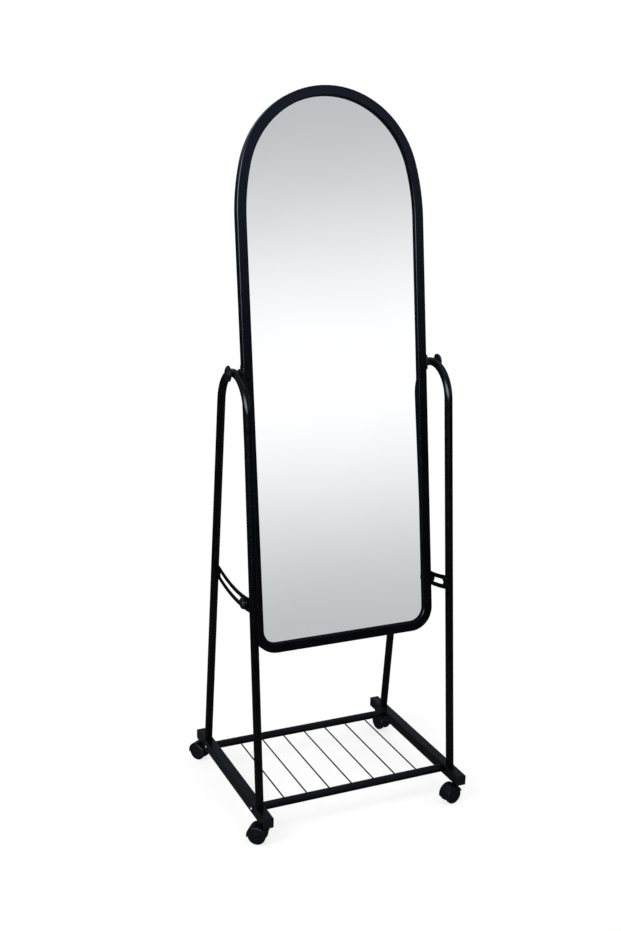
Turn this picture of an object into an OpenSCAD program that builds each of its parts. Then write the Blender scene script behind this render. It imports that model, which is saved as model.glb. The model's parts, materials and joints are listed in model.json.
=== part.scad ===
// Rolling floor mirror: an arched mirror that tilts between two A-shaped hoops
// on a low wheeled base. Millimetres. X to the right, Y to the back, Z up.
// The origin is on the floor under the middle of the base.

/* [Base] */
// Distance between the centres of the two side rails
rail_span = 500; // [470:1:530]
// Length of a side rail with its end caps
rail_len = 462; // [450:1:500]
// Width and height of the square rail tube
rail_w = 25; // [25:1:30]
// Height of the rails' undersides above the floor
rail_base_z = 50; // [50:1:54]
// Wall of all the stand's tubes
tube_wall = 1.2; // [1:0.1:1.5]
// Diameter of the cross tubes and the hoops
tube_d = 19; // [18:0.5:20]
// Distance of each cross tube from the middle
cross_y = 157; // [150:1:160]
// Number of shelf wires
wire_count = 7; // [7:1:7]
// Diameter of a shelf wire
wire_d = 3.5; // [3:0.1:5]
// Distance between neighbouring wires
wire_pitch = 58.4; // [50:0.1:59]

/* [Hoops] */
// Distance of each hoop foot from the middle
foot_y = 176; // [174:1:180]
// Height of the pivot axis, at the crest of the hoops
pivot_z = 1046; // [900:0.5:1150]
// Bend radius at the crest of a hoop
hoop_r = 83; // [70:1:95]

/* [Tilt arcs] */
// Radius of the slot's middle line about the pivot
arc_r = 525; // [505:1:545]
// Height of the arc plate
arc_h = 33; // [30:1:36]
// Thickness of the arc plate
arc_t = 2.5; // [2:0.1:3]
// Width of the slot
slot_w = 13; // [12.8:0.1:14]
// Half of the angle that the slot spans
slot_half_deg = 12.5; // [12.2:0.1:12.8]

/* [Mirror] */
// Angle that the mirror leans back, top behind
tilt_deg = 7.8; // [2:0.1:13.5]
// Half width of the frame, to the middle of its profile
frame_half_w = 219.2; // [215:0.1:219.2]
// Height of the frame's crown above the pivot, to the middle of its profile
frame_top = 612.5; // [580:0.5:640]
// Depth of the frame's bottom bar below the pivot
frame_bottom = 633.5; // [610:0.5:650]
// Radius of the shoulders, between the straight sides and the crown
shoulder_r = 490; // [470:1:510]
// Angle over which each shoulder bends
shoulder_deg = 14.5; // [13:0.1:16]
// Radius of the bottom corners
corner_r = 44; // [35:1:60]
// Width of the frame's face
face_w = 23; // [22:0.5:24]
// Depth of the frame, front to back
frame_depth = 20; // [19:0.5:22]
// Distance of the frame's front face before the pivot axis
frame_front = 8; // [8:0.5:9]
// Width of the front lip over the glass
lip_w = 4; // [3.5:0.1:4.5]
// Depth of the lip, from the front face to the glass
lip_depth = 7.5; // [6:0.5:8]
// Thickness of the glass
glass_t = 3; // [3:0.5:4]
// Thickness of the backing board
board_t = 3; // [2.5:0.5:3]

/* [Knobs] */
// Diameter of the pivot knobs
pivot_knob_d = 36; // [30:1:40]
// Diameter of the clamp knobs
clamp_knob_d = 28; // [25:1:29]
// Diameter of the bolts and studs
bolt_d = 8; // [8:1:8]

/* [Casters] */
// Wheel diameter
wheel_d = 43; // [42:0.5:43]
// Width over both wheels
caster_w = 29; // [29:0.5:32]
// Distance of the axle behind the swivel axis
trail = 15.5; // [14:0.5:17]
// Distance of each swivel axis from the middle
caster_y = 207; // [205:1:208]

/* [Hidden] */
$fn = 96;

LEFT = -1;
RIGHT = 1;
FRONT = -1;
REAR = 1;

black_paint = [0.05, 0.055, 0.065];
black_plastic = [0.09, 0.09, 0.1];
bright_steel = [0.72, 0.73, 0.74];
silvered = [0.86, 0.88, 0.89];
hardboard = [0.45, 0.33, 0.22];

// base
rail_x = rail_span / 2;
rail_mid_z = rail_base_z + rail_w / 2;
rail_top_z = rail_base_z + rail_w;
rail_edge_r = 2.5;
cap_lip = 2;
cap_plug = 12;
cross_len = rail_span - rail_w;
screw_d = 6;
screw_hole_d = 6.4;
plug_len = 22;
tube_id = tube_d - 2 * tube_wall;
foot_hole_d = 20.4;

// hoops: the lean of the legs follows from the foot, the crest and the bend
hoop_cz = pivot_z - hoop_r;
leg_rise = hoop_cz - rail_top_z;
lean = acos(hoop_r / norm([foot_y, leg_rise])) - atan2(leg_rise, foot_y);
leg_len = (leg_rise + hoop_r * sin(lean)) / cos(lean);
foot_sink = rail_w - tube_wall;
foot_end_y = foot_y + foot_sink * tan(lean);
foot_end_z = rail_top_z - foot_sink;
pivot_bore_d = bolt_d + 0.16;
hoop_inner_x = rail_x - tube_d / 2;
hoop_outer_x = rail_x + tube_d / 2;

// tilt arcs: the plate's outer face is let into the welds on the legs
weld_sink = 0.3;
arc_outer_x = hoop_inner_x + weld_sink;
arc_end_deg = 14.6;

// mirror frame: middle line of the profile, in the plane of the mirror
function hundredths(v) = round(v * 100) / 100;
centre_step = (shoulder_r - frame_half_w) / cos(shoulder_deg);
crown_r = shoulder_r - centre_step;
shoulder_cy = hundredths(frame_top - crown_r - centre_step * sin(shoulder_deg));
crown_cy = shoulder_cy + centre_step * sin(shoulder_deg);
frame_back = frame_front - frame_depth;
frame_wall = 1;
frame_edge_r = 3;
lip_edge_r = 2.5;
glass_front = frame_front - lip_depth;
board_front = glass_front - glass_t;
board_back = board_front - board_t;
rebate_x = lip_w - face_w / 2;
glass_inset = -rebate_x + 0.5;
frame_side_x = frame_half_w + face_w / 2;
vent_d = 5;

// pivots
plate_t = 2;
plate_len = 34;
plate_w = 16;
nut_af = 13;
nut_h = 6;
nut_hole_d = 16;
gap = 0.3;
bush_d = 18;
washer_t = 1.5;
pivot_knob_h = 8;
bolt_inner_x = frame_side_x - nut_h - 1;
pivot_washer_x = hoop_outer_x + gap;
pivot_knob_x = pivot_washer_x + washer_t;
nut_bore_d = bolt_d + 0.12;

// tilt clamps: the stud stands behind the frame, on the slot's middle line
stud_back = 22;
stud_down = sqrt(pow(arc_r, 2) - pow(stud_back, 2));
lug_t = 3;
lug_r = 11;
lug_boss_d = 18;
lug_x = frame_side_x;
lug_boss_x = arc_outer_x - arc_t - gap;
shoulder_d = 12;
clamp_washer_x = arc_outer_x + gap;
clamp_knob_x = clamp_washer_x + washer_t;
clamp_knob_h = 9;
bolt_in_knob = 5;

// board clips: where they stand, as [x, y, turn of the outward side]
clip_w = 14;
clip_t = 1.2;
clip_foot = 12;
clip_screw_d = 3.5;
clip_side_y = [-480, -160, 160];
clip_bottom_x = [-100, 100];
clip_crown_deg = [60, 120];
clip_spots = concat(
    [for (y = clip_side_y) [frame_half_w, y, 0]],
    [for (y = clip_side_y) [-frame_half_w, y, 180]],
    [for (x = clip_bottom_x) [x, -frame_bottom, -90]],
    [for (a = clip_crown_deg) [crown_r * cos(a), crown_cy + crown_r * sin(a), a]]);

// casters
wheel_r = wheel_d / 2;
wheel_w = 9.3;
wheel_gap = 0.5;
hood_clear = 0.8;
hood_wall = 1.7;
hood_r = wheel_r + hood_clear + hood_wall;
web_w = caster_w - 2 * wheel_w - 2 * wheel_gap;
axle_d = 5;
axle_bore_d = axle_d + 0.12;
stem_d = 8;
stem_bore_d = stem_d + 0.12;
stem_tip_d = 6;
stem_step_z = 42;
stem_low_z = 27;
stem_top_z = rail_base_z + 21;
socket_d = 11.5;
socket_flange_d = 19;
socket_flange_t = 1.5;
neck_top_z = rail_base_z - socket_flange_t - 0.5;
neck_d = 17;

// trail directions, as they stand in the modelled pose
front_left_deg = 140;
front_right_deg = 192;
rear_left_deg = 122;
rear_right_deg = 281;

// ---------- shared outlines ----------

// rectangle with round corners, centred
module round_rect(w, h, r) {
    square([w - 2 * r, h], center = true);
    square([w, h - 2 * r], center = true);
    for (x = [-1, 1], y = [-1, 1])
        translate([x * (w / 2 - r), y * (h / 2 - r)]) circle(r = r);
}

// pan head on +Z with a hex socket, standing on the XY plane
module screw_head(d, h) {
    difference() {
        rotate_extrude()
            polygon([[0, 0], [d / 2, 0], [d / 2, h * 0.5], [d * 0.4, h * 0.9], [d * 0.3, h], [0, h]]);
        translate([0, 0, h * 0.45]) cylinder(d = d * 0.4, h = h, $fn = 6);
    }
}

// flat hand knob with finger scallops and a domed outer face, from the XY plane up,
// with a blind bore for its bolt
module scallop_knob(d, h, lobes) {
    difference() {
        intersection() {
            linear_extrude(h)
                difference() {
                    circle(d = d);
                    for (i = [0:lobes - 1])
                        rotate((i + 0.5) * 360 / lobes) translate([d * 0.58, 0]) circle(d = d * 0.3);
                }
            rotate_extrude()
                polygon([[0, 0], [d * 0.42, 0], [d / 2, h * 0.15], [d / 2, h * 0.5],
                    [d * 0.38, h * 0.86], [d * 0.25, h], [0, h]]);
        }
        translate([0, 0, -1]) cylinder(d = bolt_d, h = bolt_in_knob + 1);
    }
}

module washer(d, bore, t) {
    difference() {
        cylinder(d = d, h = t);
        translate([0, 0, -1]) cylinder(d = bore, h = t + 2);
    }
}

// hex nut without its bore, below the XY plane and rooted in the plate above it
module weld_nut() {
    translate([0, 0, -nut_h])
        rotate([0, 0, 30]) cylinder(d = nut_af / cos(30), h = nut_h + 0.5, $fn = 6);
}

// turns local +Z to point away from the middle, on the left or right side
module outward(side) {
    rotate([0, side * 90, 0]) children();
}

// ---------- base ----------

module side_rail(side) {
    color(black_paint)
    translate([side * rail_x, 0, rail_mid_z])
    difference() {
        rotate([90, 0, 0])
            linear_extrude(rail_len - 2 * cap_lip, center = true)
                difference() {
                    round_rect(rail_w, rail_w, rail_edge_r);
                    round_rect(rail_w - 2 * tube_wall, rail_w - 2 * tube_wall, rail_edge_r - tube_wall);
                }
        for (end = [FRONT, REAR]) {
            translate([0, end * caster_y, -rail_w / 2])
                cylinder(d = socket_d, h = 4 * tube_wall, center = true);
            translate([0, end * foot_y, rail_w / 2])
                cylinder(d = foot_hole_d, h = 4 * tube_wall, center = true);
            translate([0, end * foot_end_y, -rail_w / 2])
                cylinder(d = screw_hole_d, h = 4 * tube_wall, center = true);
            translate([0, end * cross_y, 0])
                rotate([0, 90, 0]) cylinder(d = screw_hole_d, h = rail_w + 2, center = true);
        }
    }
}

// square caps: a lip over the tube's end and a plug with a hollow inside it
module rail_end_caps() {
    plug_w = rail_w - 2 * tube_wall - 0.4;
    color(black_plastic)
    for (side = [LEFT, RIGHT], end = [FRONT, REAR])
        translate([side * rail_x, end * rail_len / 2, rail_mid_z])
            rotate([end * 90, 0, 0])
                difference() {
                    union() {
                        linear_extrude(cap_lip) round_rect(rail_w, rail_w, rail_edge_r);
                        linear_extrude(cap_lip + cap_plug) round_rect(plug_w, plug_w, 1);
                    }
                    translate([0, 0, cap_lip]) linear_extrude(cap_plug + 1)
                        round_rect(plug_w - 3, plug_w - 3, 1);
                }
}

function wire_x(i) = (i - (wire_count + 1) / 2) * wire_pitch;

// round tube with a drilled hole for each wire in the side that faces the shelf
module cross_tube(end) {
    color(black_paint)
    translate([0, end * cross_y, rail_mid_z])
    difference() {
        rotate([0, 90, 0]) cylinder(d = tube_d, h = cross_len, center = true);
        rotate([0, 90, 0]) cylinder(d = tube_id, h = cross_len + 2, center = true);
        for (i = [1:wire_count])
            translate([wire_x(i), -end * tube_d / 2, 0])
                rotate([90, 0, 0]) cylinder(d = wire_d, h = tube_d / 2, center = true);
    }
}

module shelf_wire(i) {
    reach = cross_y - tube_d / 2 + 3;
    color(black_paint)
    translate([wire_x(i), 0, rail_mid_z])
        rotate([90, 0, 0]) cylinder(d = wire_d, h = 2 * reach, center = true);
}

// ---------- hoops and tilt arcs ----------

// one leg and the bend up to and past the crest, as a solid of the given diameter;
// it ends extra below the rail's top
module leg_and_bend(d, extra) {
    translate([0, 0, hoop_cz])
        rotate([90, 0, 90]) rotate([0, 0, lean]) {
            rotate_extrude(angle = 92 - lean) translate([hoop_r, 0]) circle(d = d);
            translate([hoop_r, 0, 0]) rotate([90, 0, 0]) cylinder(d = d, h = leg_len + extra);
        }
}

// rear half of a hoop, cut off at the crest and on the inside of the rail's bottom wall
module half_hoop() {
    extra = foot_sink / cos(lean) + 4;
    intersection() {
        difference() {
            leg_and_bend(tube_d, extra);
            leg_and_bend(tube_id, extra + 2);
            translate([0, 0, pivot_z])
                rotate([0, 90, 0]) cylinder(d = pivot_bore_d, h = tube_d + 2, center = true);
        }
        translate([-tube_d, 0, foot_end_z]) cube([2 * tube_d, rail_len / 2, pivot_z]);
    }
}

module hoop(side) {
    color(black_paint)
    translate([side * rail_x, 0, 0]) {
        half_hoop();
        mirror([0, 1, 0]) half_hoop();
    }
}

// flat ring sector about the pivot, hanging below it, of the given height and thickness
module arc_band(half_deg, h, t) {
    rotate([0, 0, -90 - half_deg])
        rotate_extrude(angle = 2 * half_deg) translate([arc_r - h / 2, 0]) square([h, t]);
}

module tilt_arc(side) {
    low_x = side * arc_outer_x - (side == RIGHT ? arc_t : 0);
    color(black_paint)
    translate([low_x, 0, pivot_z])
    rotate([90, 0, 90])
    difference() {
        arc_band(arc_end_deg, arc_h, arc_t);
        translate([0, 0, -1]) {
            arc_band(slot_half_deg, slot_w, arc_t + 2);
            for (s = [-1, 1])
                rotate([0, 0, -90 + s * slot_half_deg])
                    translate([arc_r, 0]) cylinder(d = slot_w, h = arc_t + 2);
        }
    }
}

// ---------- hidden plugs, screws, sockets ----------

module tube_end_plugs() {
    color(bright_steel) {
        for (side = [LEFT, RIGHT], end = [FRONT, REAR])
            translate([side * cross_len / 2, end * cross_y, rail_mid_z])
                outward(-side) washer(tube_id, screw_d, plug_len);
        for (side = [LEFT, RIGHT], end = [FRONT, REAR])
            translate([side * rail_x, end * foot_end_y, foot_end_z])
                difference() {
                    rotate([end * lean, 0, 0])
                        translate([0, 0, -4]) cylinder(d = tube_id, h = plug_len + 4);
                    translate([-tube_d, -tube_d, -20]) cube([2 * tube_d, 2 * tube_d, 20]);
                    translate([0, 0, -1]) cylinder(d = screw_d, h = plug_len + 4);
                }
    }
}

module cross_tube_screws() {
    shank = rail_w + plug_len - 2;
    color(bright_steel)
    for (side = [LEFT, RIGHT], end = [FRONT, REAR])
        translate([side * (rail_x + rail_w / 2), end * cross_y, rail_mid_z])
            outward(side) {
                screw_head(10, 3);
                translate([0, 0, -shank]) cylinder(d = screw_d, h = shank);
            }
}

module hoop_foot_screws() {
    shank = tube_wall + plug_len - 4;
    color(bright_steel)
    for (side = [LEFT, RIGHT], end = [FRONT, REAR])
        translate([side * rail_x, end * foot_end_y, rail_base_z])
            rotate([180, 0, 0]) {
                screw_head(10, 3);
                translate([0, 0, -shank]) cylinder(d = screw_d, h = shank);
            }
}

module at_casters() {
    for (side = [LEFT, RIGHT], end = [FRONT, REAR])
        translate([side * rail_x, end * caster_y, 0]) children();
}

// plastic sleeves in the rails, each with a flange under the rail
module caster_sockets() {
    color(black_plastic)
    at_casters()
        difference() {
            union() {
                translate([0, 0, rail_base_z - socket_flange_t])
                    cylinder(d = socket_flange_d, h = socket_flange_t);
                translate([0, 0, rail_base_z]) cylinder(d = socket_d, h = 20);
            }
            translate([0, 0, rail_base_z - 5]) cylinder(d = stem_d, h = 30);
        }
}

module caster_stems() {
    color(bright_steel)
    at_casters()
        rotate_extrude()
            polygon([[0, stem_low_z], [stem_tip_d / 2 - 1, stem_low_z], [stem_tip_d / 2, stem_low_z + 1],
                [stem_tip_d / 2, stem_step_z], [stem_d / 2, stem_step_z],
                [stem_d / 2, stem_top_z - 1.5], [stem_d / 2 - 1.5, stem_top_z], [0, stem_top_z]]);
}

// ---------- mirror ----------

// puts a shape drawn in the mirror's plane (x right, y up, z towards the viewer) at its tilt
module on_mirror() {
    translate([0, 0, pivot_z]) rotate([90 - tilt_deg, 0, 0]) children();
}

// moves in two steps, a round one and a small one, so that the swept pieces of
// the frame meet without a gap
module place(x, y) {
    translate([hundredths(x), hundredths(y)])
        translate([x - hundredths(x), y - hundredths(y)]) children();
}

// sweeps a profile (x outward, y towards the viewer) round the frame's middle line
module around_frame() {
    low_y = -frame_bottom + corner_r;
    flat = frame_half_w - corner_r;
    place(0, crown_cy)
        rotate_extrude(start = shoulder_deg, angle = 180 - 2 * shoulder_deg)
            place(crown_r, 0) children();
    for (m = [0, 1])
        mirror([m, 0, 0]) {
            translate([frame_half_w - shoulder_r, shoulder_cy])
                rotate_extrude(angle = shoulder_deg) translate([shoulder_r, 0]) children();
            translate([frame_half_w, shoulder_cy])
                rotate([90, 0, 0]) linear_extrude(shoulder_cy - low_y) children();
            translate([flat, low_y])
                rotate([0, 0, -90]) rotate_extrude(angle = 90) translate([corner_r, 0]) children();
        }
    translate([flat, -frame_bottom])
        rotate([0, 0, -90]) rotate([90, 0, 0]) linear_extrude(2 * flat) children();
}

// outline of the frame's section, drawn inside the skin by inset: a box with soft
// edges and a lip in front of the glass
module frame_outline(inset) {
    r = lip_edge_r - inset;
    reach = lip_w + frame_edge_r - inset;
    translate([rebate_x + (face_w - lip_w) / 2, frame_back + frame_depth / 2])
        round_rect(face_w - lip_w - 2 * inset, frame_depth - 2 * inset, frame_edge_r - inset);
    translate([-face_w / 2 + inset, glass_front + inset]) {
        square([reach, lip_depth - 2 * inset - r]);
        translate([r, 0]) square([reach - r, lip_depth - 2 * inset]);
        translate([r, lip_depth - 2 * inset - r]) circle(r = r);
    }
}

module frame_profile() {
    difference() {
        frame_outline(0);
        frame_outline(frame_wall);
    }
}

module mirror_frame() {
    color(black_paint)
    on_mirror()
    difference() {
        around_frame() frame_profile();
        for (side = [LEFT, RIGHT])
            translate([side * frame_side_x, 0, 0])
                rotate([0, 90, 0]) cylinder(d = nut_hole_d, h = 4 * frame_wall, center = true);
        for (spot = clip_spots)
            translate([spot[0], spot[1], frame_back])
                cylinder(d = clip_screw_d, h = 4 * frame_wall, center = true);
        for (s = [-1, 1])
            translate([s * 60, -frame_bottom - face_w / 2, (frame_front + frame_back) / 2])
                rotate([90, 0, 0]) cylinder(d = vent_d, h = 4 * frame_wall, center = true);
    }
}

// outline of a panel whose edge lies inside the frame's middle line by inset
module panel_outline(inset) {
    low_y = -frame_bottom + corner_r;
    join_y = crown_cy + (crown_r - inset) * sin(shoulder_deg);
    half = frame_half_w - inset;
    translate([-half, low_y]) square([2 * half, shoulder_cy - low_y]);
    translate([-frame_half_w + corner_r, -frame_bottom + inset])
        square([2 * (frame_half_w - corner_r), corner_r]);
    for (s = [-1, 1])
        translate([s * (frame_half_w - corner_r), low_y]) circle(r = corner_r - inset);
    intersection() {
        translate([frame_half_w - shoulder_r, shoulder_cy]) circle(r = shoulder_r - inset, $fn = 360);
        translate([shoulder_r - frame_half_w, shoulder_cy]) circle(r = shoulder_r - inset, $fn = 360);
        translate([-half - 1, shoulder_cy]) square([2 * half + 2, join_y - shoulder_cy]);
    }
    intersection() {
        translate([0, crown_cy]) circle(r = crown_r - inset, $fn = 360);
        translate([-half - 1, join_y]) square([2 * half + 2, crown_r]);
    }
}

module mirror_glass() {
    color(silvered)
    on_mirror()
        translate([0, 0, board_front]) linear_extrude(glass_t) panel_outline(glass_inset);
}

module backing_board() {
    color(hardboard)
    on_mirror()
        translate([0, 0, board_back]) linear_extrude(board_t) panel_outline(glass_inset);
}

module at_clips() {
    for (spot = clip_spots)
        translate([spot[0], spot[1], 0]) rotate([0, 0, spot[2]]) children();
}

// offset clips: a foot on the board, a riser, and a tab on the frame's back
module board_clips() {
    riser_x = rebate_x - 0.2 - clip_t;
    color(black_paint)
    on_mirror()
    at_clips()
        difference() {
            union() {
                translate([riser_x, -clip_w / 2, frame_back - clip_t])
                    cube([7 - riser_x, clip_w, clip_t]);
                translate([riser_x, -clip_w / 2, frame_back - clip_t])
                    cube([clip_t, clip_w, board_back - frame_back + clip_t]);
                translate([riser_x - clip_foot, -clip_w / 2, board_back - clip_t])
                    cube([clip_foot + clip_t, clip_w, clip_t]);
            }
            translate([0, 0, frame_back - 2 * clip_t]) cylinder(d = clip_screw_d, h = 3 * clip_t);
        }
}

module clip_screws() {
    color(bright_steel)
    on_mirror()
    at_clips()
        translate([0, 0, frame_back - clip_t]) {
            rotate([180, 0, 0]) screw_head(7, 2);
            cylinder(d = clip_screw_d, h = 8);
        }
}

// ---------- pivots ----------

// plate welded to the frame's side, with a hex nut that sits inside the frame
module pivot_plate(side) {
    color(black_paint)
    on_mirror()
    translate([side * frame_side_x, 0, 0])
    difference() {
        union() {
            outward(side) linear_extrude(plate_t) round_rect(plate_w, plate_len, 3);
            outward(side) weld_nut();
        }
        rotate([0, 90, 0]) cylinder(d = nut_bore_d, h = 4 * nut_h, center = true);
    }
}

// spacer between the frame's plate and the hoop
module pivot_bush(side) {
    bush_len = hoop_inner_x - gap - frame_side_x - plate_t;
    color(black_plastic)
    on_mirror()
    translate([side * (frame_side_x + plate_t), 0, 0])
        outward(side) difference() {
            union() {
                cylinder(d = bush_d, h = bush_len - 1.5);
                cylinder(d = bush_d - 4, h = bush_len);
            }
            translate([0, 0, -1]) cylinder(d = nut_bore_d, h = bush_len + 2);
        }
}

module pivot_knob(side) {
    color(black_plastic)
    on_mirror()
    translate([side * pivot_knob_x, 0, 0])
        outward(side) scallop_knob(pivot_knob_d, pivot_knob_h, 5);
}

// bolt whose head is moulded into the knob; it ends in the nut inside the frame
module pivot_bolt(side) {
    bolt_len = pivot_knob_x + bolt_in_knob - bolt_inner_x;
    color(bright_steel)
    on_mirror()
    translate([side * bolt_inner_x, 0, 0])
        outward(side) rotate_extrude()
            polygon([[0, 0], [bolt_d / 2 - 1, 0], [bolt_d / 2, 1],
                [bolt_d / 2, bolt_len], [0, bolt_len]]);
}

module pivot_washer(side) {
    color(bright_steel)
    on_mirror()
    translate([side * pivot_washer_x, 0, 0])
        outward(side) washer(17, bolt_d, washer_t);
}

// ---------- tilt clamps ----------

module at_clamp(side, x) {
    on_mirror() translate([side * x, -stud_down, -stud_back]) outward(side) children();
}

// plate on the frame's side that reaches back to the stud, with a boss that
// rubs on the arc and a hex nut behind it; local -X is towards the frame's front
module clamp_lug(side) {
    reach = stud_back + frame_front - 2;
    color(black_paint)
    at_clamp(side, lug_x)
    difference() {
        union() {
            cylinder(r = lug_r, h = lug_t);
            translate([side == RIGHT ? -reach : 0, -lug_r, 0]) cube([reach, 2 * lug_r, lug_t]);
            cylinder(d = lug_boss_d, h = lug_boss_x - lug_x);
            weld_nut();
        }
        translate([0, 0, -nut_h - 1]) cylinder(d = nut_bore_d, h = 3 * nut_h);
    }
}

// stud with a shoulder that rides in the slot
module clamp_stud(side) {
    inner_x = lug_x - nut_h - 2;
    shoulder_low = lug_boss_x + gap - inner_x;
    shoulder_high = clamp_washer_x - inner_x;
    stud_len = clamp_knob_x + bolt_in_knob - inner_x;
    color(bright_steel)
    at_clamp(side, inner_x)
        rotate_extrude()
            polygon([[0, 0], [bolt_d / 2 - 1, 0], [bolt_d / 2, 1],
                [bolt_d / 2, shoulder_low], [shoulder_d / 2, shoulder_low],
                [shoulder_d / 2, shoulder_high], [bolt_d / 2, shoulder_high],
                [bolt_d / 2, stud_len], [0, stud_len]]);
}

module clamp_washer(side) {
    color(bright_steel)
    at_clamp(side, clamp_washer_x) washer(20, bolt_d, washer_t);
}

module clamp_knob(side) {
    color(black_plastic)
    at_clamp(side, clamp_knob_x)
        scallop_knob(clamp_knob_d, clamp_knob_h, 5);
}

// ---------- casters ----------

// local frame of a caster: swivel axis on Z, axle along Y, trailing towards +X
module at_caster(side, end, deg) {
    translate([side * rail_x, end * caster_y, 0]) rotate([0, 0, deg]) children();
}

module on_axle() {
    translate([trail, 0, wheel_r]) rotate([90, 0, 0]) children();
}

// moulded hood: a web between the wheels, a fender over them and the swivel neck
module caster_hood(side, end, deg) {
    cut_deg = 14;
    color(black_plastic)
    at_caster(side, end, deg)
    difference() {
        union() {
            difference() {
                on_axle() union() {
                    cylinder(r = hood_r, h = web_w, center = true);
                    difference() {
                        cylinder(r = hood_r, h = caster_w, center = true);
                        cylinder(r = hood_r - hood_wall, h = caster_w + 2, center = true);
                    }
                }
                translate([trail, 0, wheel_r])
                    rotate([0, cut_deg, 0])
                        translate([-2 * hood_r, -caster_w, -2 * hood_r])
                            cube([4 * hood_r, 2 * caster_w, 2 * hood_r]);
            }
            on_axle() cylinder(d = 12, h = web_w, center = true);
            difference() {
                translate([0, 0, wheel_r]) cylinder(d1 = 11, d2 = neck_d, h = neck_top_z - wheel_r - 3);
                for (s = [-1, 1])
                    translate([0, s * (web_w / 2 + caster_w / 2), 0])
                        on_axle() cylinder(r = wheel_r + hood_clear, h = caster_w, center = true);
            }
            translate([0, 0, neck_top_z - 3]) cylinder(d = neck_d, h = 3);
        }
        translate([0, 0, stem_low_z - 1]) cylinder(d = stem_tip_d + 0.12, h = 40);
        translate([0, 0, stem_step_z - 0.5]) cylinder(d = stem_bore_d, h = 20);
        on_axle() cylinder(d = axle_d, h = caster_w, center = true);
    }
}

module caster_axle(side, end, deg) {
    color(bright_steel)
    at_caster(side, end, deg)
        on_axle() cylinder(d = axle_d, h = caster_w - 6, center = true);
}

// section of one wheel: bore to the left, outer face on top with a shallow ring in it,
// round tread edges
module wheel_section() {
    r = 2.5;
    ring_depth = 1;
    ring_inner = 8;
    ring_outer = 15;
    translate([axle_bore_d / 2, 0]) square([wheel_r - r - axle_bore_d / 2, wheel_w - ring_depth]);
    translate([axle_bore_d / 2, ring_depth])
        square([ring_inner - axle_bore_d / 2, wheel_w - ring_depth]);
    translate([ring_outer, ring_depth]) square([wheel_r - r - ring_outer, wheel_w - ring_depth]);
    translate([wheel_r - r - 1, r]) square([r + 1, wheel_w - 2 * r]);
    for (y = [r, wheel_w - r])
        translate([wheel_r - r, y]) circle(r = r);
}

module caster_wheel(side, end, deg, which) {
    color(black_plastic)
    at_caster(side, end, deg)
    translate([trail, which * (web_w / 2 + wheel_gap), wheel_r])
    rotate([which * -90, 0, 0])
        rotate_extrude() wheel_section();
}

// ---------- nodes ----------

side_rail(LEFT);  // left_side_rail
side_rail(RIGHT);  // right_side_rail
rail_end_caps();
cross_tube(FRONT);  // front_cross_tube
cross_tube(REAR);  // rear_cross_tube
for (i = [1:wire_count])
    shelf_wire(i);
hoop(LEFT);  // left_hoop
hoop(RIGHT);  // right_hoop
tilt_arc(LEFT);  // left_tilt_arc
tilt_arc(RIGHT);  // right_tilt_arc
tube_end_plugs();
cross_tube_screws();
hoop_foot_screws();
caster_sockets();
caster_stems();
mirror_frame();
mirror_glass();
backing_board();
board_clips();
clip_screws();
pivot_plate(LEFT);  // left_pivot_plate
pivot_plate(RIGHT);  // right_pivot_plate
pivot_bush(LEFT);  // left_pivot_bush
pivot_bush(RIGHT);  // right_pivot_bush
clamp_lug(LEFT);  // left_clamp_lug
clamp_lug(RIGHT);  // right_clamp_lug
pivot_knob(LEFT);  // left_pivot_knob
pivot_bolt(LEFT);  // left_pivot_bolt
pivot_washer(LEFT);  // left_pivot_washer
pivot_knob(RIGHT);  // right_pivot_knob
pivot_bolt(RIGHT);  // right_pivot_bolt
pivot_washer(RIGHT);  // right_pivot_washer
clamp_knob(LEFT);  // left_clamp_knob
clamp_stud(LEFT);  // left_clamp_stud
clamp_washer(LEFT);  // left_clamp_washer
clamp_knob(RIGHT);  // right_clamp_knob
clamp_stud(RIGHT);  // right_clamp_stud
clamp_washer(RIGHT);  // right_clamp_washer
caster_hood(LEFT, FRONT, front_left_deg);  // front_left_hood
caster_axle(LEFT, FRONT, front_left_deg);  // front_left_axle
caster_wheel(LEFT, FRONT, front_left_deg, 1);  // front_left_wheel_a
caster_wheel(LEFT, FRONT, front_left_deg, -1);  // front_left_wheel_b
caster_hood(RIGHT, FRONT, front_right_deg);  // front_right_hood
caster_axle(RIGHT, FRONT, front_right_deg);  // front_right_axle
caster_wheel(RIGHT, FRONT, front_right_deg, 1);  // front_right_wheel_a
caster_wheel(RIGHT, FRONT, front_right_deg, -1);  // front_right_wheel_b
caster_hood(LEFT, REAR, rear_left_deg);  // rear_left_hood
caster_axle(LEFT, REAR, rear_left_deg);  // rear_left_axle
caster_wheel(LEFT, REAR, rear_left_deg, 1);  // rear_left_wheel_a
caster_wheel(LEFT, REAR, rear_left_deg, -1);  // rear_left_wheel_b
caster_hood(RIGHT, REAR, rear_right_deg);  // rear_right_hood
caster_axle(RIGHT, REAR, rear_right_deg);  // rear_right_axle
caster_wheel(RIGHT, REAR, rear_right_deg, 1);  // rear_right_wheel_a
caster_wheel(RIGHT, REAR, rear_right_deg, -1);  // rear_right_wheel_b
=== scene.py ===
import json
import math
import bmesh
import bpy
from mathutils import Matrix, Vector


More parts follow.
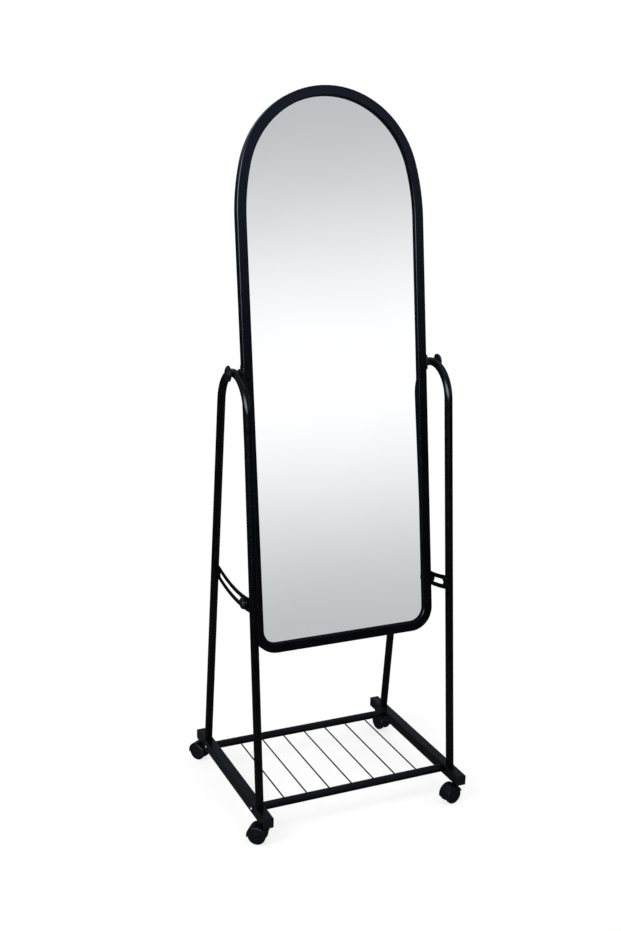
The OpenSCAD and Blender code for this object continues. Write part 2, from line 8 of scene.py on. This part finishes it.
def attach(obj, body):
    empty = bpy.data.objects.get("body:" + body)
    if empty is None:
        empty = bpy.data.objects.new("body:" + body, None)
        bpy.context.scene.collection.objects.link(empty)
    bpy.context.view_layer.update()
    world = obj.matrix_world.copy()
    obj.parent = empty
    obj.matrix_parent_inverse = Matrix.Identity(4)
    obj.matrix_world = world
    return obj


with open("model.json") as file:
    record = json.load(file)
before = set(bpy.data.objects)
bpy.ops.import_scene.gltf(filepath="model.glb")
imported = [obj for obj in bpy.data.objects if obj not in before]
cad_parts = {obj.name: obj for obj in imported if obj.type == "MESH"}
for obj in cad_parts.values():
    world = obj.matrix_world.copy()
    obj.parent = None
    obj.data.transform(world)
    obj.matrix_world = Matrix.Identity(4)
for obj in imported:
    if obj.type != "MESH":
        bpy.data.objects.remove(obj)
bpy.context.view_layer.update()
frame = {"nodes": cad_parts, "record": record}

mm = 0.001
print("frame loaded:", len(frame["nodes"]), "nodes")

# places repeated from the part's source, in millimetres and degrees
layout = {
    "pivotHeight": 1046, "tilt": 7.8,
    "railMiddle": 250, "railTop": 75, "casterY": 207,
    "hoopRadius": 83, "footY": 176,
    "arcOuter": 240.8, "arcRadius": 525, "arcHeight": 33, "arcEndAngle": 13,
    "studBack": 22, "frameSide": 230.7, "frameFront": 8,
    "pivotKnobTop": 269.3, "clampKnobTop": 251.6,
    "wheelRadius": 21.5, "trail": 15.5, "wheelFace": 14.5,
}


def spin(x, y, z):  # turns about X, Y and Z in degrees
    turn = Matrix.Rotation(math.radians(z), 4, "Z") @ Matrix.Rotation(math.radians(y), 4, "Y")
    return turn @ Matrix.Rotation(math.radians(x), 4, "X")


def shift(x, y, z):  # a move in millimetres
    return Matrix.Translation(Vector((x, y, z)) * mm)


mirrorPlane = shift(0, 0, layout["pivotHeight"]) @ spin(90 - layout["tilt"], 0, 0)


noiseRange = 0.3, 0.7  # most of a noise lies between these


class Finish:  # a material and the nodes that shape it
    def __init__(self, name, base, roughness, metallic=0.0, specular=0.5):
        self.material = bpy.data.materials.new(name)
        self.material.use_nodes = True
        self.tree = self.material.node_tree
        self.shader = self.tree.nodes["Principled BSDF"]
        self.shader.inputs["Base Color"].default_value = (*base, 1)
        self.shader.inputs["Roughness"].default_value = roughness
        self.shader.inputs["Metallic"].default_value = metallic
        self.shader.inputs["Specular IOR Level"].default_value = specular
        self.place = self.tree.nodes.new("ShaderNodeTexCoord").outputs["Object"]

    def stretched(self, x, y, z):  # coordinates drawn out along an axis
        mapping = self.tree.nodes.new("ShaderNodeMapping")
        mapping.inputs["Scale"].default_value = (x, y, z)
        self.tree.links.new(self.place, mapping.inputs["Vector"])
        return mapping.outputs["Vector"]

    def noise(self, scale, detail=3.0, place=None):
        node = self.tree.nodes.new("ShaderNodeTexNoise")
        node.inputs["Scale"].default_value = scale
        node.inputs["Detail"].default_value = detail
        self.tree.links.new(place or self.place, node.inputs["Vector"])
        return node.outputs["Fac"]

    def spread(self, value, low, high):  # noise stretched to run from low to high
        node = self.tree.nodes.new("ShaderNodeMapRange")
        for socket, limit in zip(("From Min", "From Max", "To Min", "To Max"), (*noiseRange, low, high)):
            node.inputs[socket].default_value = limit
        self.tree.links.new(value, node.inputs["Value"])
        return node.outputs["Result"]

    def shades(self, value, spots, colours):  # each spot on the ramp has its colour
        node = self.tree.nodes.new("ShaderNodeValToRGB")
        edges = node.color_ramp.elements
        while len(edges) < len(spots):
            edges.new(0.5)  # its place is set below
        for edge, spot, colour in zip(edges, spots, colours):
            edge.position = spot
            edge.color = (*colour, 1)
        self.tree.links.new(value, node.inputs["Fac"])
        return node.outputs["Color"]

    def colour(self, value):
        self.tree.links.new(value, self.shader.inputs["Base Color"])

    def gloss(self, value):
        self.tree.links.new(value, self.shader.inputs["Roughness"])

    def relief(self, value, strength, depth):
        node = self.tree.nodes.new("ShaderNodeBump")
        node.inputs["Strength"].default_value = strength
        node.inputs["Distance"].default_value = depth
        self.tree.links.new(value, node.inputs["Height"])
        self.tree.links.new(node.outputs["Normal"], self.shader.inputs["Normal"])


# in each finish the clouds vary the colour, the sheen varies the gloss and the grain is the relief
paintValues = {
    # the frame's shades are the black paint with a bluer tint, partly a painted reflection of bluish
    # light
    "frameSheenDark": (0.001, 0.0014, 0.0026), "frameSheenLight": (0.0018, 0.0025, 0.0045),
    "standDark": (0.001, 0.0011, 0.0013), "standLight": (0.002, 0.0022, 0.0026),
    "specular": 0.4, "cloudScale": 14, "spots": (0.35, 0.68),
    "sheenScale": 84, "smooth": 0.15, "rough": 0.22,
    "grainScale": 620, "grain": 0.2, "grainDepth": 0.00012,
}


def powderPaint(name, dark, light):
    v = paintValues
    paint = Finish(name, dark, v["rough"], specular=v["specular"])
    paint.colour(paint.shades(paint.noise(v["cloudScale"], detail=4), v["spots"], (dark, light)))
    paint.gloss(paint.spread(paint.noise(v["sheenScale"], detail=5), v["smooth"], v["rough"]))
    paint.relief(paint.noise(v["grainScale"], detail=2), v["grain"], v["grainDepth"])
    return paint.material


plasticValues = {
    "dark": (0.0017, 0.002, 0.0032), "light": (0.0034, 0.004, 0.0066),
    "specular": 0.4, "cloudScale": 40, "spots": (0.35, 0.7), "sheenScale": 90,
    "knobGloss": (0.42, 0.58), "hoodGloss": (0.16, 0.26), "wheelGloss": (0.3, 0.42),  # smooth and rough
    "grainScale": 1500, "grain": 0.4, "grainDepth": 0.00006,
}


def mouldedPlastic(name, smooth, rough):
    v = plasticValues
    plastic = Finish(name, v["dark"], rough, specular=v["specular"])
    clouds = plastic.noise(v["cloudScale"], detail=4)
    plastic.colour(plastic.shades(clouds, v["spots"], (v["dark"], v["light"])))
    plastic.gloss(plastic.spread(plastic.noise(v["sheenScale"], detail=4), smooth, rough))
    plastic.relief(plastic.noise(v["grainScale"], detail=2), v["grain"], v["grainDepth"])
    return plastic.material


glassValues = {
    "clear": (0.925, 0.94, 0.945), "faint": (0.915, 0.928, 0.932), "cloudScale": 5, "spots": (0.4, 0.6),
}


def silveredGlass():
    v = glassValues
    glass = Finish("silvered mirror glass", v["clear"], 0.0, metallic=1.0)
    glass.colour(glass.shades(glass.noise(v["cloudScale"]), v["spots"], (v["faint"], v["clear"])))
    return glass.material


steelValues = {
    "dark": (0.32, 0.3, 0.25), "light": (0.55, 0.53, 0.46), "cloudScale": 160, "spots": (0.35, 0.65),
    "sheenScale": 420, "smooth": 0.22, "rough": 0.42,
    "grainScale": 2200, "grain": 0.3, "grainDepth": 0.00003,
}


def zincSteel():
    v = steelValues
    steel = Finish("zinc plated steel", v["light"], v["rough"], metallic=1.0)
    clouds = steel.noise(v["cloudScale"], detail=5)
    steel.colour(steel.shades(clouds, v["spots"], (v["dark"], v["light"])))
    steel.gloss(steel.spread(steel.noise(v["sheenScale"]), v["smooth"], v["rough"]))
    steel.relief(steel.noise(v["grainScale"], detail=2), v["grain"], v["grainDepth"])
    return steel.material


boardValues = {
    "dark": (0.142, 0.084, 0.047), "middle": (0.17, 0.102, 0.058), "light": (0.2, 0.123, 0.071),
    "specular": 0.3, "fibreScale": 420, "fibreStretch": (1, 1, 0.5), "spots": (0.3, 0.5, 0.72),
    "sheenScale": 60, "smooth": 0.55, "rough": 0.8,
    "grainScale": 900, "grain": 0.5, "grainDepth": 0.0002,
}


def hardBoard():
    v = boardValues
    board = Finish("brown hardboard", v["middle"], v["rough"], specular=v["specular"])
    fibres = board.noise(v["fibreScale"], detail=6, place=board.stretched(*v["fibreStretch"]))
    board.colour(board.shades(fibres, v["spots"], (v["dark"], v["middle"], v["light"])))
    board.gloss(board.spread(board.noise(v["sheenScale"], detail=4), v["smooth"], v["rough"]))
    board.relief(board.noise(v["grainScale"], detail=4), v["grain"], v["grainDepth"])
    return board.material


# the frame's copy of the black paint carries a painted bluish reflection
frameSheenPaint = powderPaint("frame paint with painted sheen", paintValues["frameSheenDark"], paintValues["frameSheenLight"])
standPaint = powderPaint("stand paint", paintValues["standDark"], paintValues["standLight"])
finishes = {  # one for each slot of the record
    "black_paint": standPaint,
    "mirror_glass": silveredGlass(),
    "backing_board": hardBoard(),
    "black_plastic": mouldedPlastic("knob plastic", *plasticValues["knobGloss"]),
    "caster_plastic": mouldedPlastic("hood plastic", *plasticValues["hoodGloss"]),
    "wheel_plastic": mouldedPlastic("wheel plastic", *plasticValues["wheelGloss"]),
    "zinc_steel": zincSteel(),
}
for part in frame["record"]["subparts"]:
    node = frame["nodes"][part["node"]]
    finish = finishes[part["material_slot"]]
    if part["node"] == "mirror_frame":  # the stand's black paint tinted bluer here: a painted reflection of bluish light on the frame
        finish = frameSheenPaint
    node.data.materials.clear()
    node.data.materials.append(finish)
print("materials:", len(finishes) + 1)


def addPiece(name, mesh, body, material):
    piece = bpy.data.objects.new(name, mesh)
    bpy.context.scene.collection.objects.link(piece)
    mesh.materials.append(material)
    for face in mesh.polygons:
        face.use_smooth = True
    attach(piece, body)


def turned(bm, profile, segments, matrix):  # a profile of (radius, height) turned about +Z
    rings = []
    for radius, height in profile:
        if radius == 0:
            rings.append([bm.verts.new(matrix @ Vector((0, 0, height * mm)))])
            continue
        angles = [2 * math.pi * i / segments for i in range(segments)]
        ring = [Vector((radius * math.cos(a), radius * math.sin(a), height)) * mm for a in angles]
        rings.append([bm.verts.new(matrix @ point) for point in ring])
    for low, high in zip(rings, rings[1:]):
        for i in range(segments):
            k = (i + 1) % segments
            corners = [low[i % len(low)], low[k % len(low)], high[k % len(high)], high[i % len(high)]]
            corners = list(dict.fromkeys(corners))
            if len(corners) > 2:
                bm.faces.new(corners)


def finished(name, bm):
    bmesh.ops.recalc_face_normals(bm, faces=bm.faces)
    mesh = bpy.data.meshes.new(name)
    bm.to_mesh(mesh)
    bm.free()
    return mesh


def outward(side):  # local +Z away from the middle
    return spin(0, 90 * side, 0)


# domed inlays that cover the screw ends in the knobs
inlayValues = {
    "pivotProfile": [(0, -0.6), (8.2, -0.6), (8.2, 0.15), (7.7, 0.45), (6.6, 0.6), (3.5, 0.8), (0, 0.85)],
    "clampProfile": [(0, -0.6), (6.2, -0.6), (6.2, 0.15), (5.8, 0.4), (4.9, 0.55), (2.6, 0.7), (0, 0.75)],
    "segments": 48,
}
# from the pivot down to the clamps, along the mirror
clampDown = math.sqrt(layout["arcRadius"] ** 2 - layout["studBack"] ** 2)
for sideName, side in (("left", -1), ("right", 1)):
    v = inlayValues
    bm = bmesh.new()
    spot = shift(side * layout["pivotKnobTop"], 0, 0)
    turned(bm, v["pivotProfile"], v["segments"], mirrorPlane @ spot @ outward(side))
    addPiece(sideName + "_pivot_inlay", finished("pivotInlay", bm), sideName + "_pivot_screw",
             finishes["caster_plastic"])
    bm = bmesh.new()
    spot = shift(side * layout["clampKnobTop"], -clampDown, -layout["studBack"])
    turned(bm, v["clampProfile"], v["segments"], mirrorPlane @ spot @ outward(side))
    addPiece(sideName + "_clamp_inlay", finished("clampInlay", bm), sideName + "_clamp_screw",
             finishes["caster_plastic"])
print("knob inlays")


# hub caps on the casters' wheels; a caster has its side, its end and the way it trails in degrees
casterValues = {
    "front_left": (-1, -1, 140), "front_right": (1, -1, 192),
    "rear_left": (-1, 1, 122), "rear_right": (1, 1, 281),
}
hubValues = {
    "profile": [(0, -0.4), (6.6, -0.4), (6.6, 0.1), (6.1, 0.25), (4.2, 0.4), (2.1, 0.5), (0, 0.53)],
    "segments": 36,
}
for casterName, (side, end, direction) in casterValues.items():
    swivel = shift(side * layout["railMiddle"], end * layout["casterY"], 0) @ spin(0, 0, direction)
    for wheel, which in (("a", 1), ("b", -1)):
        face = swivel @ shift(layout["trail"], which * layout["wheelFace"], layout["wheelRadius"])
        bm = bmesh.new()
        turned(bm, hubValues["profile"], hubValues["segments"], face @ spin(-90 * which, 0, 0))
        addPiece(f"{casterName}_hub_{wheel}", finished("hubCap", bm), f"{casterName}_wheel_{wheel}",
                 finishes["caster_plastic"])
print("hub caps")


# weld beads: arcs to the hoops' legs, and lugs and plates to the frame
weldValues = {
    "radius": 1.3, "sides": 8, "step": 1.1, "fewestSteps": 4,
    "ripple": 0.16, "ripplePhase": 2.1, "endTaper": 0.45,
    "arcLift": 0.5, "arcShort": 2, "legEdge": 3.4,  # beads on the hoops' legs
    "frameLift": 0.2, "lugEdge": 11, "lugFrom": 17, "lugTo": 4,  # beads along the clamps' lugs
    "plateEdge": 8, "plateEnd": 12,  # beads along the pivots' plates
}


def beadAlong(bm, points):  # a rippled bead along a line of points
    v = weldValues
    angles = [2 * math.pi * k / v["sides"] for k in range(v["sides"])]
    rings = []
    for i, point in enumerate(points):
        ahead = points[min(i + 1, len(points) - 1)] - points[max(i - 1, 0)]
        ahead.normalize()
        across = ahead.orthogonal().normalized()
        upward = ahead.cross(across)
        wave = 1 + v["ripple"] * math.sin(i * v["ripplePhase"])
        taper = v["endTaper"] if i in (0, len(points) - 1) else 1.0
        size = v["radius"] * mm * wave * taper
        spokes = [math.cos(a) * across + math.sin(a) * upward for a in angles]
        rings.append([bm.verts.new(point + size * spoke) for spoke in spokes])
    for low, high in zip(rings, rings[1:]):
        for i in range(v["sides"]):
            k = (i + 1) % v["sides"]
            bm.faces.new([low[i], low[k], high[k], high[i]])
    bm.faces.new(rings[0][::-1])
    bm.faces.new(rings[-1])


def lineOf(start, end):  # evenly spaced points, about a step apart
    start, end = Vector(start), Vector(end)
    count = max(weldValues["fewestSteps"], round((end - start).length / weldValues["step"]))
    return [start.lerp(end, i / count) for i in range(count + 1)]


def weldLines(name, lines, matrix, body, material):
    bm = bmesh.new()
    for line in lines:
        beadAlong(bm, [matrix @ (point * mm) for point in line])
    addPiece(name, finished(name, bm), body, material)


# a hoop's leg touches its crest circle and ends at its foot
crestMiddle = layout["pivotHeight"] - layout["hoopRadius"]
footFall = crestMiddle - layout["railTop"]
legLean = math.acos(layout["hoopRadius"] / math.hypot(layout["footY"], footFall))
legLean -= math.atan2(footFall, layout["footY"])


def legY(z):  # middle line of the rear leg
    return layout["hoopRadius"] / math.cos(legLean) + (crestMiddle - z) * math.tan(legLean)


arcEndHeight = layout["pivotHeight"] - layout["arcRadius"] * math.cos(math.radians(layout["arcEndAngle"]))
for sideName, side in (("left", -1), ("right", 1)):
    v = weldValues
    half = layout["arcHeight"] / 2 - v["arcShort"]
    low, high = arcEndHeight - half, arcEndHeight + half
    x = side * (layout["arcOuter"] + v["arcLift"])
    lines = []
    for end in (-1, 1):
        for edge in (-v["legEdge"], v["legEdge"]):
            lines.append(lineOf((x, end * legY(low) + edge, low), (x, end * legY(high) + edge, high)))
    weldLines(sideName + "_arc_welds", lines, Matrix(), "stand", standPaint)
    x = side * (layout["frameSide"] + v["frameLift"])
    near, far = layout["frameFront"] - v["lugFrom"], layout["frameFront"] - v["lugTo"]
    lines = []
    for edge in (-1, 1):
        y = -clampDown + edge * v["lugEdge"]
        lines.append(lineOf((x, y, near), (x, y, far)))
    for edge in (-1, 1):
        z = edge * v["plateEdge"]
        lines.append(lineOf((x, -v["plateEnd"], z), (x, v["plateEnd"], z)))
    weldLines(sideName + "_frame_welds", lines, mirrorPlane, "mirror", frameSheenPaint)
print("weld beads")


class Wiring:  # nodes of a floor or world shader
    def __init__(self, tree):
        self.nodes, self.links = tree.nodes, tree.links
        self.nodes.clear()
        self.path = self.nodes.new("ShaderNodeLightPath").outputs
        self.place = self.nodes.new("ShaderNodeTexCoord").outputs

    def fill(self, socket, value):
        if isinstance(value, (int, float)):
            socket.default_value = value
        else:
            self.links.new(value, socket)

    def math(self, operation, *values, clamp=False):
        node = self.nodes.new("ShaderNodeMath")
        node.operation = operation
        node.use_clamp = clamp
        for socket, value in zip(node.inputs, values):
            self.fill(socket, value)
        return node.outputs[0]

    def both(self, value, other):
        return self.math("MULTIPLY", value, other)

    def eased(self, value, low, high):  # from 0 at low to 1 at high
        node = self.nodes.new("ShaderNodeMapRange")
        node.interpolation_type = "SMOOTHSTEP"
        node.inputs["From Min"].default_value = low
        node.inputs["From Max"].default_value = high
        self.links.new(value, node.inputs["Value"])
        return node.outputs["Result"]

    def light(self, kind, level, tint=(1, 1, 1)):
        node = self.nodes.new(kind)
        node.inputs["Color"].default_value = (*tint, 1)
        self.fill(node.inputs["Strength"], level)
        return node.outputs[0]

    def chosen(self, switch, off, on):
        node = self.nodes.new("ShaderNodeMixShader")
        for socket, value in zip(node.inputs, (switch, off, on)):
            self.links.new(value, socket)
        return node.outputs[0]

    def firstBounce(self):  # 1 for a first reflection, 0 for a reflection in a reflection
        return self.math("LESS_THAN", self.path["Glossy Depth"], 1.5)  # the depth is a whole number

    def clearView(self):  # 1 for what the mirror shows, 0 for what reaches it by way of the paint
        return self.both(self.path["Is Singular Ray"], self.firstBounce())


# the floor is white to the camera and keeps a share of the shadow near the object
floorValues = {
    "radius": 1.3, "segments": 128, "white": (0.93, 0.93, 0.93),
    "shadowShare": 0.25, "fadeFrom": 0.45, "fadeTo": 1.0,
    "softLevel": 0.05,  # what the paint sees of it
    "blendFrom": 0.35,  # from here out it blends into the walls that the mirror shows
}


def makeFloor():
    v = floorValues
    bm = bmesh.new()
    bmesh.ops.create_circle(bm, cap_ends=True, segments=v["segments"], radius=v["radius"])
    mesh = bpy.data.meshes.new("floor")
    bm.to_mesh(mesh)
    bm.free()
    floor = bpy.data.objects.new("studio_floor", mesh)
    bpy.context.scene.collection.objects.link(floor)
    material = bpy.data.materials.new("pale floor")
    material.use_nodes = True
    w = Wiring(material.node_tree)
    seen = w.math("ADD", w.path["Is Camera Ray"], w.path["Is Glossy Ray"])
    seen = w.math("ADD", seen, w.path["Is Transmission Ray"], clamp=True)
    reach = w.nodes.new("ShaderNodeVectorMath")
    reach.operation = "LENGTH"
    w.links.new(w.place["Object"], reach.inputs[0])
    # plain white takes over from the shadow as it fades outward
    fade = w.eased(reach.outputs["Value"], v["fadeFrom"], v["fadeTo"])
    glow = w.both(seen, w.math("MULTIPLY_ADD", fade, v["shadowShare"], 1 - v["shadowShare"]))
    # the paint sees it dim, and in the mirror its rim is as dim as the walls
    rough = w.math("SUBTRACT", w.path["Is Glossy Ray"], w.clearView(), clamp=True)
    rim = w.eased(reach.outputs["Value"], v["blendFrom"], v["radius"])
    blend = w.both(w.both(rim, 1 - wallValues["dim"]), w.clearView())
    level = w.math("SUBTRACT", w.math("MULTIPLY_ADD", rough, v["softLevel"] - 1, 1), blend)
    plain = w.nodes.new("ShaderNodeBsdfDiffuse")
    plain.inputs["Color"].default_value = (*v["white"], 1)
    light = w.light("ShaderNodeEmission", level)
    surface = w.chosen(w.math("MAXIMUM", glow, rough), plain.outputs[0], light)
    w.links.new(surface, w.nodes.new("ShaderNodeOutputMaterial").inputs["Surface"])
    mesh.materials.append(material)


# heights are in degrees; a band has a middle, a reach below it and a reach above it
wallValues = {  # what the mirror shows: plain walls with a soft bright band a little above the horizon
    "dim": 0.56, "dimTint": (0.965, 1.0, 1.03),
    "glow": 0.54, "glowTint": (1.035, 1.0, 0.97), "glowBand": (3.6, 13, 13.5),
}
roomValues = {  # what the paint shows: a dim room with a few lights
    "ground": 0.01, "groundTint": (0.87, 0.98, 1.25),
    "wall": 0.12, "wallTint": (0.88, 0.98, 1.22), "wallRise": (-5, 30),
    "blue": 0.27, "blueTint": (0.7, 0.97, 1.55), "blueBand": (17, 13, 11),
    "top": 0.3, "topTint": (0.87, 0.98, 1.25), "topRise": (50, 80),
    "tent": 7.0, "tentTint": (0.86, 1.0, 1.12),
    "tentSide": 50, "tentEdge": (0.72, 0.9), "tentRise": (4, 9.5),
    "deepLevel": 0.03, "plainLevel": 0.62,  # for a reflection in a reflection, and for light that spreads
    "backdrop": 1.0,  # what the camera sees
}


def makeWorld():
    walls, room = wallValues, roomValues
    world = bpy.data.worlds.new("studio")
    bpy.context.scene.world = world
    world.use_nodes = True
    w = Wiring(world.node_tree)
    split = w.nodes.new("ShaderNodeSeparateXYZ")
    w.links.new(w.place["Generated"], split.inputs[0])
    height = w.math("ARCSINE", split.outputs["Z"])

    def even(level, tint=(1, 1, 1)):
        return w.light("ShaderNodeBackground", level, tint)

    def rising(low, high):
        return w.eased(height, math.radians(low), math.radians(high))

    def band(middle, below, above):
        return w.both(rising(middle - below, middle), rising(middle + above, middle))

    def shaped(level, tint, shape):
        return even(w.both(shape, level), tint)

    def together(*lights):
        total = lights[0]
        for light in lights[1:]:
            node = w.nodes.new("ShaderNodeAddShader")
            w.links.new(total, node.inputs[0])
            w.links.new(light, node.inputs[1])
            total = node.outputs[0]
        return total

    def tentShape():  # a softbox on the left, above eye level
        side = math.radians(room["tentSide"])
        facing = w.nodes.new("ShaderNodeVectorMath")
        facing.operation = "DOT_PRODUCT"
        w.links.new(w.place["Generated"], facing.inputs[0])
        facing.inputs[1].default_value = (-math.sin(side), -math.cos(side), 0)
        return w.both(w.eased(facing.outputs["Value"], *room["tentEdge"]), rising(*room["tentRise"]))

    shown = together(
        even(walls["dim"], walls["dimTint"]),
        shaped(walls["glow"], walls["glowTint"], band(*walls["glowBand"])),
    )
    around = together(
        even(room["ground"], room["groundTint"]),
        shaped(room["wall"], room["wallTint"], rising(*room["wallRise"])),
        shaped(room["blue"], room["blueTint"], band(*room["blueBand"])),
        shaped(room["top"], room["topTint"], rising(*room["topRise"])),
        shaped(room["tent"], room["tentTint"], tentShape()),
    )
    soft = w.chosen(w.firstBounce(), even(room["deepLevel"]), around)
    reflected = w.chosen(w.clearView(), soft, shown)
    glossy = w.chosen(w.path["Is Glossy Ray"], even(room["plainLevel"]), reflected)
    clear = w.chosen(w.path["Is Transmission Ray"], glossy, even(room["backdrop"]))
    surface = w.chosen(w.path["Is Camera Ray"], clear, even(room["backdrop"]))
    w.links.new(surface, w.nodes.new("ShaderNodeOutputWorld").inputs["Surface"])


# soft panels: where they stand, what they point at, their size and their power
lampValues = {
    "key panel": ((-2.3, -0.75, 2.35), (0, 0, 1.0), (1.5, 1.9), 62),
    "fill panel": ((2.4, -0.9, 1.7), (0, 0, 0.8), (1.2, 1.8), 16),
    "top panel": ((0.2, -0.3, 3.3), (0, 0, 0.5), (1.8, 1.8), 22),
    "back panel": ((0.6, 2.6, 1.9), (0, 0, 0.8), (1.6, 1.6), 18),
}


def makeLamps():
    for name, (place, target, size, power) in lampValues.items():
        light = bpy.data.lights.new(name, "AREA")
        light.shape = "RECTANGLE"
        light.size, light.size_y = size
        light.energy = power
        lamp = bpy.data.objects.new(name, light)
        bpy.context.scene.collection.objects.link(lamp)
        lamp.location = place
        lamp.rotation_euler = (Vector(target) - Vector(place)).to_track_quat("-Z", "Y").to_euler()
        lamp.visible_camera = False
        lamp.visible_glossy = False  # the room and its tent give the reflections


cameraValues = {
    "place": (-1.15599, -2.42733, 1.52972), "azimuth": -24.441, "elevation": 14.826, "roll": 1.232,
    "focalPixels": 1191.0, "axisPixel": (313.8, 463.1), "picture": (621, 931), "sensor": 36,
    "clipEnd": 50,
}


def makeCamera():
    v = cameraValues
    azimuth, elevation, roll = (math.radians(v[k]) for k in ("azimuth", "elevation", "roll"))
    level = Vector((math.cos(azimuth), math.sin(azimuth), 0))
    flat = math.cos(elevation)
    back = Vector((math.sin(azimuth) * flat, -math.cos(azimuth) * flat, math.sin(elevation)))
    upright = back.cross(level)
    right = math.cos(roll) * level + math.sin(roll) * upright
    up = math.cos(roll) * upright - math.sin(roll) * level
    camera = bpy.data.cameras.new("photo camera")
    width, height = v["picture"]
    camera.sensor_width = v["sensor"]
    camera.lens = v["focalPixels"] * v["sensor"] / height
    camera.shift_x = (width / 2 - v["axisPixel"][0]) / height
    camera.shift_y = (v["axisPixel"][1] - height / 2) / height
    camera.clip_end = v["clipEnd"]
    holder = bpy.data.objects.new("photo camera", camera)
    bpy.context.scene.collection.objects.link(holder)
    turn = Matrix((right, up, back)).transposed().to_4x4()
    holder.matrix_world = Matrix.Translation(Vector(v["place"])) @ turn
    bpy.context.scene.camera = holder


makeFloor()
makeWorld()
makeLamps()
makeCamera()
bpy.context.scene.view_settings.view_transform = "Standard"
print("floor, light and camera")
